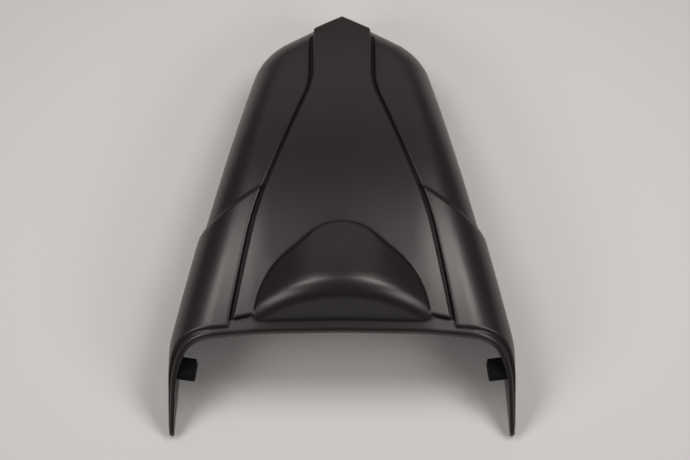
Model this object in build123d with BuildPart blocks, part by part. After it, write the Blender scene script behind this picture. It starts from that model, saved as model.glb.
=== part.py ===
"""Seat cowl: a moulded shell that covers the rear seat of a motorcycle, with two foam pads.

The open front faces -Y, the tail +Y, and the rim rests on Z = 0. Sizes are in mm.
"""

import os
from math import cos, radians, sin, tan

from build123d import *

os.makedirs("parts", exist_ok=True)

# Whole cowl
length = 336.0
width = 250.0
wall = 3.5
draft = 2.5
step = 3.0
edge_roll = 30.0

# Front opening, seen from the side
front_rake = 42.5
front_bend_drop = 18.0
front_bend_radius = 40.0
tip_radius = 6.0
tip_lift = 3.0
tip_slope = 30.0
lip_round = 2.0

# Roof, a barrel turned about a cross axis, with a soft ridge and shoulders that fall away
roof_peak_z = 84.0
roof_tail_z = 35.0
roof_peak_back = 83.7
ridge_slope = 1.5
ridge_radius = 200.0
shoulder_half = 58.0
shoulder_slope = 7.0
shoulder_radius = 150.0

# Plan of the body at the rim
knee_back = 0.7
knee_radius = 70.0
foot_splay = 2.6
corner_half = 64.6
corner_radius = 58.0
apex_radius = 28.0
apex_slope = 36.0

# Centre panel and the groove along it
groove = 3.0
groove_depth = 1.5
panel_edge = 1.0
shoulder_front = 44.5
panel_setback = 7.7
panel_bow = 7.0
shoulder_hip = 60.0
hip_back = 91.0
hip_radius = 300.0
spine_half = 23.4
spine_length = 81.2
spine_radius = 70.0
tail_setback = 5.0
panel_tail_slope = 35.0
panel_corner = 4.0

# Shoulder plates
plate_length = 93.3
plate_lift = 1.8
plate_edge = 1.0
plate_tip = 1.2
plate_setback = 4.0
crease_side = 42.0
crease_turn = 35.2
crease_in = 1.204
crease_drop = 20.536
crease_slope = 50.0

# Hump at the front of the centre panel
hump_setback = 8.7
hump_length = 89.2
hump_margin = 18.2
hump_side = 60.0
hump_nose = 38.0
hump_bed = 2.0
hump_sink = 12.0
hump_draft = 40.0
hump_rise = 21.3
hump_peak_ahead = 10.0
hump_roof_radius = 190.0
hump_crown = 92.0
hump_rake = 23.0
hump_crest = 12.0

# Foam pads
pad_reach = 18.0
pad_length = 13.5
pad_height = 12.0
pad_turn = 8.0
pad_back = 42.27
pad_z = 35.0

# Construction sizes that run past the cowl on every side
reach = 60.0
deep = 30.0
high = 160.0

half_length = length / 2
body_half = width / 2 - step
front_bend_z = roof_peak_z - front_bend_drop
tip_half_angle = radians(90 - front_rake + tip_slope) / 2
tip_aim = radians(90 - front_rake - tip_slope) / 2
tip_y = -half_length - tip_radius * (cos(tip_aim) / sin(tip_half_angle) - 1)
lip_y = tip_y + (front_bend_z - tip_lift) * tan(radians(front_rake))
knee_y = lip_y + knee_back
apex_y = half_length + apex_radius * (1 / cos(radians(apex_slope)) - 1)
corner_y = apex_y - corner_half * tan(radians(apex_slope))
roof_peak_y = lip_y + roof_peak_back
roof_fall = roof_peak_z - roof_tail_z
roof_radius = ((half_length - roof_peak_y) ** 2 + roof_fall**2) / (2 * roof_fall)
panel_half = body_half - shoulder_front
panel_front_y = lip_y + panel_setback
panel_tail_y = half_length - tail_setback
hip_half = body_half - shoulder_hip
hip_y = lip_y + hip_back
spine_end_y = half_length - spine_length
crease_half = body_half - crease_side
crease_y = lip_y + plate_length
crease_lean = tan(radians(crease_turn))
side_lean = (body_half - corner_half) / (corner_y - knee_y)
crease_room = crease_side - crease_in - side_lean * (crease_y - knee_y)
crease_out = crease_room / (1 - side_lean * crease_lean)
flank_y = crease_y - crease_out * crease_lean
flank_half = crease_half + crease_out
crease_z = roof_peak_z - crease_drop - (flank_half - shoulder_half) * tan(radians(shoulder_slope))
hump_half = panel_half - hump_margin
hump_front_y = lip_y + hump_setback
hump_apex_y = hump_front_y + hump_length
hump_base_z = roof_peak_z - hump_bed
hump_roof_z = roof_peak_z + hump_rise
hump_roof_y = hump_front_y - hump_peak_ahead
pad_y = tip_y + pad_back


def free_edges(faces):
    """The edges round a patch of faces, without the ones inside it and the ones on the rim."""
    edges = faces.edges()
    round_patch = [e for e in edges if sum(e.is_same(other) for other in edges) == 1]
    return [e for e in round_patch if e.bounding_box().max.Z > 1]


def is_plate_skin(face):
    """True for the outer faces of a shoulder plate, not for its steps and ends."""
    normal = face.normal_at()
    return normal.Z > 0.01 and (normal.Z > 0.9 or abs(normal.X) > 0.3)


def is_roof(face):
    """True for the faces that look up."""
    return face.normal_at().Z > 0.7


def is_mouth(face):
    """True for the faces that the front opening leaves on the body."""
    normal = face.normal_at()
    return normal.Y < -0.3 and abs(normal.X) < 0.1


def roof_ring(lift):
    """The barrel whose upper side is the roof, lifted by lift."""
    axis_z = roof_peak_z - roof_radius
    plane = Plane((0, roof_peak_y, axis_z), x_dir=(1, 0, 0), z_dir=(0, 1, 0))
    top = roof_radius + lift
    side = width / 2 + reach
    shoulder = top - shoulder_half * tan(radians(ridge_slope))
    edge = shoulder - (side - shoulder_half) * tan(radians(shoulder_slope))
    inner = top - high - deep
    right = [(0, top), (shoulder_half, shoulder), (side, edge)]
    left = [(-x, z) for x, z in reversed(right[1:])]
    radii = [shoulder_radius, ridge_radius, shoulder_radius]
    with BuildPart() as ring:
        with BuildSketch(plane):
            with BuildLine():
                FilletPolyline(left + right, radius=radii)
                Polyline((side, edge), (side, inner), (-side, inner), (-side, edge))
            make_face()
        revolve(axis=Axis(plane.origin, (1, 0, 0)), revolution_arc=360)
    return ring.part


def body_form(grow, lift, floor, splay):
    """The plain body, its sides moved out by grow, its roof up by lift, its feet out by splay."""
    lean = splay / (half_length + knee_y)
    right = [
        (body_half + lean * (half_length + reach + knee_y), -half_length - reach),
        (body_half, knee_y),
        (corner_half, corner_y),
    ]
    left = [(-x, y) for x, y in reversed(right)]
    radii = [knee_radius, corner_radius, apex_radius, corner_radius, knee_radius]
    with BuildPart() as body:
        with BuildSketch(Plane.XY.offset(floor)):
            with BuildLine():
                run = FilletPolyline(right + [(0, apex_y)] + left, radius=radii)
                Line(run @ 1, run @ 0)
            make_face()
            offset(amount=grow - floor * tan(radians(draft)), kind=Kind.INTERSECTION)
        extrude(amount=high, taper=draft)
        add(roof_ring(lift), mode=Mode.INTERSECT)
        rolled = free_edges(body.faces().filter_by(is_roof))
        ahead = -half_length - reach / 2
        rolled = [e for e in rolled if e.center().Y > ahead]
        fillet(rolled, radius=edge_roll + (grow + lift) / 2)
    return body.part


def front_form(setback):
    """What lies behind the front opening, seen from the side, moved back by setback."""
    back = half_length + reach
    foot_y = tip_y + setback / cos(radians(front_rake))
    foot_z = tip_lift - reach * tan(radians(tip_slope))
    points = [
        (back, high),
        (lip_y + setback, high),
        (lip_y + setback, front_bend_z),
        (foot_y, tip_lift),
        (foot_y + reach, foot_z),
        (back, foot_z),
    ]
    with BuildPart() as front:
        with BuildSketch(Plane.YZ):
            with BuildLine():
                run = FilletPolyline(points, radius=[0, front_bend_radius, tip_radius, 0])
                Line(run @ 1, run @ 0)
            make_face()
        extrude(amount=width, both=True)
    return front.part


def groove_plan(grow):
    """What lies between the two grooves, seen from above, its sides moved out by grow."""
    lean = (panel_half - hip_half) / (hip_y - panel_front_y)
    points = [
        (spine_half, half_length + reach),
        (spine_half, spine_end_y),
        (hip_half, hip_y),
        (panel_half + lean * reach, panel_front_y - reach),
    ]
    with BuildSketch() as plan:
        with BuildLine():
            right = FilletPolyline(points, radius=[spine_radius, hip_radius])
            Line(right @ 0, (0, half_length + reach))
            Line(right @ 1, (0, panel_front_y - reach))
            mirror(about=Plane.YZ)
        make_face()
        offset(amount=grow, kind=Kind.INTERSECTION)
    return plan.sketch


def panel_plan(grow):
    """The centre panel seen from above, out to grow beyond the middle of the grooves."""
    fall = width * tan(radians(panel_tail_slope))
    with BuildSketch() as plan:
        add(groove_plan(grow))
        with BuildLine():
            ends = [(-panel_half, panel_front_y), (panel_half, panel_front_y)]
            ThreePointArc(ends[0], (0, panel_front_y + panel_bow), ends[1])
            Polyline(
                ends[1],
                (width, panel_front_y),
                (width, panel_tail_y - fall),
                (0, panel_tail_y),
                (-width, panel_tail_y - fall),
                (-width, panel_front_y),
                ends[0],
            )
        make_face(mode=Mode.INTERSECT)
    return plan.sketch


def channel_form():
    """What the grooves cut from the body's roof, with all that lies between them."""
    with BuildPart() as channel:
        with BuildSketch():
            add(panel_plan(groove / 2))
        extrude(amount=high)
        add(roof_ring(-groove_depth), mode=Mode.SUBTRACT)
    return channel.part


def panel_form(inset):
    """The raised centre panel, from the spine at the tail to its wide front."""
    with BuildPart() as panel:
        with BuildSketch() as plan:
            add(panel_plan(-groove / 2))
            fillet(plan.vertices().group_by(Axis.Y)[-2], radius=panel_corner)
            offset(amount=-inset, kind=Kind.INTERSECTION)
        extrude(amount=high)
        add(roof_ring(step - inset), mode=Mode.INTERSECT)
        if inset == 0:
            fillet(free_edges(panel.faces().filter_by(is_roof)), radius=panel_edge)
    return panel.part


def crease_form(inset):
    """All that lies ahead of the crease and outside the groove, drawn in by inset."""
    front_y = -half_length - reach
    slope = tan(radians(crease_slope))
    crease = [
        (0, crease_y + crease_half * crease_lean),
        (width, crease_y - (width - crease_half) * crease_lean),
        (width, front_y),
        (0, front_y),
    ]
    flank = [
        (flank_y - (crease_z + deep) / slope, -deep),
        (flank_y + step / slope, crease_z + step),
        (half_length, crease_z + step),
        (half_length, high),
        (front_y, high),
        (front_y, -deep),
    ]
    with BuildPart() as ahead:
        with BuildSketch(Plane.XY.offset(-deep)):
            with BuildLine():
                Polyline(crease, close=True)
            make_face()
            offset(amount=-inset - plate_tip, kind=Kind.INTERSECTION)
            add(groove_plan(groove / 2 + inset + plate_tip), mode=Mode.SUBTRACT)
            offset(amount=plate_tip, kind=Kind.ARC)
            mirror(about=Plane.YZ)
        extrude(amount=high)
        with BuildSketch(Plane.YZ):
            with BuildLine():
                Polyline(flank, close=True)
            make_face()
            offset(amount=-inset, kind=Kind.INTERSECTION)
        extrude(amount=width, both=True, mode=Mode.INTERSECT)
    return ahead.part


def shoulder_form():
    """Both shoulder plates, which wrap over the body's edge ahead of the crease."""
    with BuildPart() as shoulder:
        add(body_form(step, plate_lift, 0, 0))
        add(crease_form(0), mode=Mode.INTERSECT)
        add(front_form(plate_setback), mode=Mode.INTERSECT)
        for plate in shoulder.solids():
            skin = plate.faces().filter_by(is_plate_skin)
            fillet(free_edges(skin), radius=plate_edge)
    return shoulder.part


def shoulder_recess():
    """The hollows behind the shoulder plates, which end behind the lip."""
    behind = lip_y + plate_setback + wall
    with BuildPart() as recess:
        add(body_form(step - wall, plate_lift - wall, -deep, 0))
        add(crease_form(wall), mode=Mode.INTERSECT)
        with Locations((0, behind, -deep)):
            Box(
                2 * width,
                length,
                2 * high,
                align=(Align.CENTER, Align.MIN, Align.CENTER),
                mode=Mode.INTERSECT,
            )
    return recess.part


def hump_form(inset):
    """The hump at the front of the centre panel, a crowned roof over a pointed arch."""
    knee = hump_apex_y - hump_half
    front_y = hump_front_y - hump_half
    axis_z = hump_roof_z - hump_roof_radius
    barrel = Plane((0, hump_roof_y, axis_z), x_dir=(1, 0, 0), z_dir=(0, 1, 0))
    top = hump_roof_radius - inset
    spread = hump_sink * tan(radians(hump_draft))
    arch = [
        (hump_half, front_y),
        (hump_half, knee),
        (0, hump_apex_y),
        (-hump_half, knee),
        (-hump_half, front_y),
    ]
    face = Plane((0, hump_front_y, hump_base_z), x_dir=(1, 0, 0), z_dir=(0, -1, 0))
    face = face.rotated((-hump_rake, 0, 0)).offset(-inset)
    with BuildPart() as roof:
        with BuildSketch(barrel):
            with Locations((0, top - hump_crown + inset)):
                Circle(hump_crown - inset)
            with Locations((0, top)):
                Rectangle(1.6 * hump_crown, 1.2 * hump_crown, mode=Mode.INTERSECT)
        revolve(axis=Axis(barrel.origin, (1, 0, 0)), revolution_arc=360)
        split(bisect_by=face, keep=Keep.BOTTOM)
        crest = roof.faces().sort_by(Axis.Z)[-1].edges().sort_by(Axis.Z)[-1:]
        fillet(crest, radius=hump_crest - inset)
    with BuildPart() as hump:
        with BuildSketch(Plane.XY.offset(hump_base_z - hump_sink)):
            with BuildLine():
                run = FilletPolyline(arch, radius=[hump_side, hump_nose, hump_side])
                Line(run @ 1, run @ 0)
            make_face()
            offset(amount=spread - inset, kind=Kind.INTERSECTION)
        extrude(amount=hump_sink + hump_roof_z - hump_base_z, taper=hump_draft)
        add(roof.part, mode=Mode.INTERSECT)
    return hump.part


with BuildPart() as cowl_shell:
    add(body_form(0, 0, -deep, foot_splay))
    add(front_form(0), mode=Mode.INTERSECT)
    mouth = cowl_shell.faces().filter_by(is_mouth)
    fillet(ShapeList(free_edges(mouth)).filter_by(Axis.X, reverse=True), radius=lip_round)
    split(bisect_by=Plane.XY, keep=Keep.TOP)
    add(channel_form(), mode=Mode.SUBTRACT)
    add(panel_form(0))
    add(shoulder_form())
    add(hump_form(0))
    add(body_form(-wall, -wall, -deep, foot_splay), mode=Mode.SUBTRACT)
    add(panel_form(wall), mode=Mode.SUBTRACT)
    add(shoulder_recess(), mode=Mode.SUBTRACT)
    add(hump_form(wall), mode=Mode.SUBTRACT)
cowl_shell.part.label = "cowl_shell"

with BuildPart() as left_pad:
    with Locations((body_half - pad_reach, pad_y, pad_z)):
        Box(
            2 * pad_reach,
            pad_length,
            pad_height,
            rotation=(0, 0, pad_turn),
            align=(Align.MIN, Align.CENTER, Align.CENTER),
        )
    add(body_form(-wall, -wall, -deep, foot_splay), mode=Mode.INTERSECT)
left_pad.part.label = "left_pad"

with BuildPart() as right_pad:
    add(mirror(left_pad.part, about=Plane.YZ, mode=Mode.PRIVATE))
right_pad.part.label = "right_pad"

export_step(cowl_shell.part, "parts/cowl_shell.step")
export_step(left_pad.part, "parts/left_pad.step")
export_step(right_pad.part, "parts/right_pad.step")
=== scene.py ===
from math import cos, hypot, radians, tan

import bmesh
import bpy
from mathutils import Matrix, Vector


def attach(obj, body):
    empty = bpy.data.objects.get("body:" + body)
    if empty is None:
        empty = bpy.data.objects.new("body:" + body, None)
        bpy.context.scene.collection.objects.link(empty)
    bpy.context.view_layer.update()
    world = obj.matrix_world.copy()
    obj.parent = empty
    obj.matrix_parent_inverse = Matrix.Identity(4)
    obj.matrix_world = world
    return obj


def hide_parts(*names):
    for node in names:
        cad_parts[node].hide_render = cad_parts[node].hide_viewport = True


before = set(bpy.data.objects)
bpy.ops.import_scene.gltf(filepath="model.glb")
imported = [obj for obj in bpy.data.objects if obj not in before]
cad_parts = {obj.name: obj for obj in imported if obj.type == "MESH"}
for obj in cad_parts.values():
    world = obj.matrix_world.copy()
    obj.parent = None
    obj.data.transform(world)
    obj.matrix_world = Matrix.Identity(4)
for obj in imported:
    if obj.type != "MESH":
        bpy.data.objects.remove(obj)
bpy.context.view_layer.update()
scene = bpy.context.scene


# Cowl shell: one injection moulding in black ABS, 3.5 mm thick, open below and in front.
# Its tool is spark-eroded, so the skin has a fine even grain that breaks up the gloss.
# The tool's edges are eased, and hollows such as the grooves beside the panel reflect less: painted
# shade.
SHELL_DARK = (0.0066, 0.0048, 0.0050, 1.0)
SHELL_PALE = (0.0088, 0.0068, 0.0070, 1.0)
SHELL_GLOSS = (0.32, 0.37)
SHELL_IOR = 1.52
FLOW_SIZE = 0.045
FLOW_DETAIL = 3.0
GRAIN_SIZE = 0.0007
GRAIN_DETAIL = 2.0
GRAIN_DEPTH = 0.000018
GRAIN_STRENGTH = 0.5
EDGE_EASE = 0.0025
EDGE_RAYS = 8
HOLLOW_REACH = 0.007
HOLLOW_RAYS = 8
HOLLOW_SHADE = (0.62, 0.93)
HOLLOW_SHINE = (0.12, 0.5)

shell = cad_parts["cowl_shell"]
satin_abs = bpy.data.materials.new("satin_black_abs")
satin_abs.use_nodes = True
shell_nodes = satin_abs.node_tree.nodes
shell_links = satin_abs.node_tree.links
skin = shell_nodes["Principled BSDF"]
skin.inputs["IOR"].default_value = SHELL_IOR

shell_spot = shell_nodes.new("ShaderNodeTexCoord").outputs["Object"]
flow = shell_nodes.new("ShaderNodeTexNoise")
flow.inputs["Scale"].default_value = 1 / FLOW_SIZE
flow.inputs["Detail"].default_value = FLOW_DETAIL
shell_links.new(shell_spot, flow.inputs["Vector"])

tint = shell_nodes.new("ShaderNodeMix")
tint.data_type = "RGBA"
tint.inputs["A"].default_value = SHELL_DARK
tint.inputs["B"].default_value = SHELL_PALE
shell_links.new(flow.outputs["Fac"], tint.inputs["Factor"])
shell_links.new(tint.outputs["Result"], skin.inputs["Base Color"])

grain = shell_nodes.new("ShaderNodeTexNoise")
grain.inputs["Scale"].default_value = 1 / GRAIN_SIZE
grain.inputs["Detail"].default_value = GRAIN_DETAIL
shell_links.new(shell_spot, grain.inputs["Vector"])

gloss = shell_nodes.new("ShaderNodeMapRange")
gloss.inputs["To Min"].default_value = SHELL_GLOSS[0]
gloss.inputs["To Max"].default_value = SHELL_GLOSS[1]
shell_links.new(grain.outputs["Fac"], gloss.inputs["Value"])
shell_links.new(gloss.outputs["Result"], skin.inputs["Roughness"])

# Painted shade: where ambient occlusion finds a hollow, the shine is cut, so grooves and corners
# reflect less.
hollow = shell_nodes.new("ShaderNodeAmbientOcclusion")
hollow.only_local = True
hollow.samples = HOLLOW_RAYS
hollow.inputs["Distance"].default_value = HOLLOW_REACH
painted_hollow_shade = shell_nodes.new("ShaderNodeMapRange")
painted_hollow_shade.inputs["From Min"].default_value = HOLLOW_SHADE[0]
painted_hollow_shade.inputs["From Max"].default_value = HOLLOW_SHADE[1]
painted_hollow_shade.inputs["To Min"].default_value = HOLLOW_SHINE[0]
painted_hollow_shade.inputs["To Max"].default_value = HOLLOW_SHINE[1]
shell_links.new(hollow.outputs["AO"], painted_hollow_shade.inputs["Value"])
shell_links.new(painted_hollow_shade.outputs["Result"], skin.inputs["Specular IOR Level"])

split = shell_nodes.new("ShaderNodeSeparateXYZ")
shell_links.new(shell_spot, split.inputs["Vector"])
along = split.outputs["Y"]
high = split.outputs["Z"]


def reckon(operation, first, second=0.0, third=0.0):
    """A math node of the shell's material, fed by sockets or by numbers."""
    node = shell_nodes.new("ShaderNodeMath")
    node.operation = operation
    for socket, value in zip(node.inputs, (first, second, third)):
        if isinstance(value, float):
            socket.default_value = value
        else:
            shell_links.new(value, socket)
    return node.outputs["Value"]


def between(value, least, most):
    """The value, held between two limits."""
    return reckon("MINIMUM", reckon("MAXIMUM", value, least), most)


out = reckon("ABSOLUTE", split.outputs["X"])

# Each shoulder plate rolls off ahead of its crease, which slants over the roof and down the side.
ROLL_WIDTH = 0.0032
ROLL_RADIUS = 0.0048
CREASE_IN = 0.0555
CREASE_HALF = 0.080
CREASE_Y = -0.02044
CREASE_LEAN = 0.7054
FLANK_Y = -0.03631
FLANK_Z = 0.058
FLANK_SLOPE = 1.1918

crease = reckon("MULTIPLY_ADD", out, -CREASE_LEAN, CREASE_Y + CREASE_HALF * CREASE_LEAN)
roof_gap = reckon("DIVIDE", reckon("SUBTRACT", crease, along), hypot(1.0, CREASE_LEAN))
flank = reckon("MULTIPLY_ADD", high, 1 / FLANK_SLOPE, FLANK_Y - FLANK_Z / FLANK_SLOPE)
side_gap = reckon("DIVIDE", reckon("SUBTRACT", flank, along), hypot(1.0, 1 / FLANK_SLOPE))
on_roof = reckon("LESS_THAN", out, CREASE_HALF)
gap = reckon("MINIMUM", roof_gap, reckon("ADD", side_gap, on_roof))
on_plate = reckon("MULTIPLY", reckon("GREATER_THAN", gap, 0.0), reckon("GREATER_THAN", out, CREASE_IN))
depth = reckon("SUBTRACT", ROLL_WIDTH, reckon("MINIMUM", gap, ROLL_WIDTH))
drop = reckon("MULTIPLY", reckon("POWER", depth, 2.0), on_plate)

# The hump's back slope rolls towards its crest, and that height runs out again behind the roll.
HUMP_HALF = 0.0593
HUMP_FACE_Y = -0.10505
HUMP_FACE_Z = 0.082
HUMP_RAKE = radians(23)
CREST_NEAR = 0.007
CREST_FAR = 0.015
CREST_END = 0.045
CREST_TILT = 0.18
CREST_ROLL = CREST_FAR - CREST_NEAR
CREST_FALL = CREST_TILT * CREST_FAR / 2 / (CREST_END - CREST_FAR)

face = reckon("MULTIPLY_ADD", high, tan(HUMP_RAKE), HUMP_FACE_Y - HUMP_FACE_Z * tan(HUMP_RAKE))
behind = reckon("MULTIPLY", reckon("SUBTRACT", along, face), cos(HUMP_RAKE))
near = reckon("POWER", between(behind, 0.0, CREST_NEAR), 2.0)
far = reckon("POWER", reckon("SUBTRACT", CREST_FAR, between(behind, CREST_NEAR, CREST_FAR)), 2.0)
beyond = reckon("SUBTRACT", between(behind, CREST_FAR, CREST_END), CREST_FAR)
crest = reckon("MULTIPLY_ADD", near, CREST_TILT / CREST_NEAR / 2, CREST_TILT * CREST_ROLL / 2)
crest = reckon("MULTIPLY_ADD", far, -CREST_TILT / CREST_ROLL / 2, crest)
crest = reckon("MULTIPLY_ADD", beyond, -CREST_FALL, crest)
outward = reckon("POWER", reckon("DIVIDE", out, HUMP_HALF), 4.0)
fade = reckon("POWER", reckon("MAXIMUM", reckon("SUBTRACT", 1.0, outward), 0.0), 2.0)
crest = reckon("MULTIPLY", crest, fade)

# The grain lies on the two rolls, whose heights are in metres, and these lie on the eased edges.
eased = shell_nodes.new("ShaderNodeBevel")
eased.samples = EDGE_RAYS
eased.inputs["Radius"].default_value = EDGE_EASE
roll = shell_nodes.new("ShaderNodeBump")
roll.inputs["Distance"].default_value = 1.0
shell_links.new(reckon("MULTIPLY_ADD", drop, -0.5 / ROLL_RADIUS, crest), roll.inputs["Height"])
shell_links.new(eased.outputs["Normal"], roll.inputs["Normal"])
relief = shell_nodes.new("ShaderNodeBump")
relief.inputs["Strength"].default_value = GRAIN_STRENGTH
relief.inputs["Distance"].default_value = GRAIN_DEPTH
shell_links.new(grain.outputs["Fac"], relief.inputs["Height"])
shell_links.new(roll.outputs["Normal"], relief.inputs["Normal"])
shell_links.new(relief.outputs["Normal"], skin.inputs["Normal"])

shell.data.materials.clear()
shell.data.materials.append(satin_abs)


# Foam pads: two blocks of closed-cell rubber foam, die-cut and stuck inside the front legs.
# The cut edges give a little, and the cut cells make the faces dead black.
PAD_EDGE = 0.0009
PAD_EDGE_STEPS = 3
PAD_WELD = 1e-6
PAD_FLAT = radians(4)
CELL_SIZE = 0.0005
CELL_DEPTH = 0.00012
CELL_STRENGTH = 0.7
FOAM_DARK = (0.0010, 0.0009, 0.0011, 1.0)
FOAM_PALE = (0.0024, 0.0022, 0.0025, 1.0)
FOAM_IOR = 1.3
FOAM_ROUGHNESS = 0.95

foam = bpy.data.materials.new("black_cell_foam")
foam.use_nodes = True
foam_nodes = foam.node_tree.nodes
foam_links = foam.node_tree.links
skin = foam_nodes["Principled BSDF"]
skin.inputs["IOR"].default_value = FOAM_IOR
skin.inputs["Roughness"].default_value = FOAM_ROUGHNESS

foam_spot = foam_nodes.new("ShaderNodeTexCoord").outputs["Object"]
cells = foam_nodes.new("ShaderNodeTexVoronoi")
cells.inputs["Scale"].default_value = 1 / CELL_SIZE
foam_links.new(foam_spot, cells.inputs["Vector"])

tint = foam_nodes.new("ShaderNodeMix")
tint.data_type = "RGBA"
tint.inputs["A"].default_value = FOAM_DARK
tint.inputs["B"].default_value = FOAM_PALE
foam_links.new(cells.outputs["Distance"], tint.inputs["Factor"])
foam_links.new(tint.outputs["Result"], skin.inputs["Base Color"])

relief = foam_nodes.new("ShaderNodeBump")
relief.inputs["Strength"].default_value = CELL_STRENGTH
relief.inputs["Distance"].default_value = CELL_DEPTH
foam_links.new(cells.outputs["Distance"], relief.inputs["Height"])
foam_links.new(relief.outputs["Normal"], skin.inputs["Normal"])

for side in ("left", "right"):
    block = bmesh.new()
    block.from_mesh(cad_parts[side + "_pad"].data)
    bmesh.ops.remove_doubles(block, verts=block.verts, dist=PAD_WELD)
    bmesh.ops.dissolve_limit(
        block, angle_limit=PAD_FLAT, verts=block.verts, edges=block.edges
    )
    bmesh.ops.bevel(
        block,
        geom=block.edges[:],
        offset=PAD_EDGE,
        offset_type="OFFSET",
        affect="EDGES",
        segments=PAD_EDGE_STEPS,
        profile=0.5,
        material=-1,
        clamp_overlap=True,
    )
    mesh = bpy.data.meshes.new(side + "_foam_pad")
    block.to_mesh(mesh)
    block.free()
    mesh.shade_smooth()
    mesh.materials.append(foam)
    pad = bpy.data.objects.new(side + "_foam_pad", mesh)
    scene.collection.objects.link(pad)
    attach(pad, "root")
    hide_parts(side + "_pad")


# Studio: a pale paper floor under two softboxes, hung left and right above the tail.
# They leave a gap over the middle, so the centre of the cowl stays darker than its shoulders.
# Two lower boxes at the front corners and a weak sheet behind the tail lift what they miss.
FLOOR_HALF = 9.0
FLOOR_TONE = (0.58, 0.58, 0.575, 1.0)
FLOOR_ROUGHNESS = 0.9
LAMP_TONE = (1.0, 0.945, 0.92)
BOX_SIZE = (0.30, 0.54)
BOX_SPREAD = radians(110)
BOX_HIGH = 1.0
BOX_BACK = 0.18
BOX_OUT = (0.48, 0.46)
BOX_TOE = 0.7
BOX_POWER = (1.5, 1.9)
BOX_AIM = (0.0, 0.02, 0.03)
WING_SIZE = (0.35, 0.6)
WING_SPREAD = radians(110)
WING_POWER = 1.25
WING_OUT = 0.74
WING_BACK = -0.42
WING_HIGH = 0.68
WING_AIM = (0.0, -0.08, 0.03)
WING_TOE = -0.5
SHEET_SIZE = (1.6, 0.8)
SHEET_SPREAD = radians(180)
SHEET_POWER = 1.9
SHEET_PLACE = (0.0, 1.4, 0.75)
AIR_TONE = (1.0, 0.95, 0.93, 1.0)
AIR_POWER = 0.12

paper = bpy.data.materials.new("pale_paper")
paper.use_nodes = True
skin = paper.node_tree.nodes["Principled BSDF"]
skin.inputs["Base Color"].default_value = FLOOR_TONE
skin.inputs["Roughness"].default_value = FLOOR_ROUGHNESS

sheet = bmesh.new()
bmesh.ops.create_grid(sheet, x_segments=1, y_segments=1, size=FLOOR_HALF)
floor_mesh = bpy.data.meshes.new("floor")
sheet.to_mesh(floor_mesh)
sheet.free()
floor_mesh.materials.append(paper)
floor = bpy.data.objects.new("floor", floor_mesh)
scene.collection.objects.link(floor)


def hang(name, size, spread, power, place, aim, run):
    """Hangs a rectangular lamp at place, turned to aim, with its second side along run."""
    lamp = bpy.data.lights.new(name, "AREA")
    lamp.shape = "RECTANGLE"
    lamp.size, lamp.size_y = size
    lamp.spread = spread
    lamp.energy = power
    lamp.color = LAMP_TONE
    back = (Vector(place) - Vector(aim)).normalized()
    across = Vector(run).cross(back).normalized()
    holder = bpy.data.objects.new(name, lamp)
    holder.location = place
    holder.rotation_euler = Matrix((across, back.cross(across), back)).transposed().to_euler()
    scene.collection.objects.link(holder)


for hand, box_out, power in zip((-1, 1), BOX_OUT, BOX_POWER):
    place = (hand * box_out, BOX_BACK, BOX_HIGH)
    hang("softbox", BOX_SIZE, BOX_SPREAD, power, place, BOX_AIM, (hand * BOX_TOE, -1, 0))
    place = (hand * WING_OUT, WING_BACK, WING_HIGH)
    hang("wing_box", WING_SIZE, WING_SPREAD, WING_POWER, place, WING_AIM, (hand * WING_TOE, -1, 0))
hang("back_sheet", SHEET_SIZE, SHEET_SPREAD, SHEET_POWER, SHEET_PLACE, BOX_AIM, (0, 0, 1))

air = bpy.data.worlds.new("studio_air")
air.use_nodes = True
glow = air.node_tree.nodes["Background"]
glow.inputs["Color"].default_value = AIR_TONE
glow.inputs["Strength"].default_value = AIR_POWER
scene.world = air
scene.view_settings.view_transform = "Standard"


# Camera: above and ahead of the cowl, looking 65 degrees down along it with a long lens.
# It is shifted sideways by three pixels of a picture 690 pixels wide.
CAMERA_PLACE = (0.0, -0.5503, 1.1746)
CAMERA_AIM = (0.0, -0.0026, 0.0)
CAMERA_LENS = 88.7
CAMERA_SENSOR = 36.0
CAMERA_SHIFT = 3 / 690

eye = bpy.data.cameras.new("camera")
eye.lens = CAMERA_LENS
eye.sensor_width = CAMERA_SENSOR
eye.shift_x = CAMERA_SHIFT
camera = bpy.data.objects.new("camera", eye)
camera.location = CAMERA_PLACE
aim = Vector(CAMERA_AIM) - Vector(CAMERA_PLACE)
camera.rotation_euler = aim.to_track_quat("-Z", "Y").to_euler()
scene.collection.objects.link(camera)
scene.camera = camera
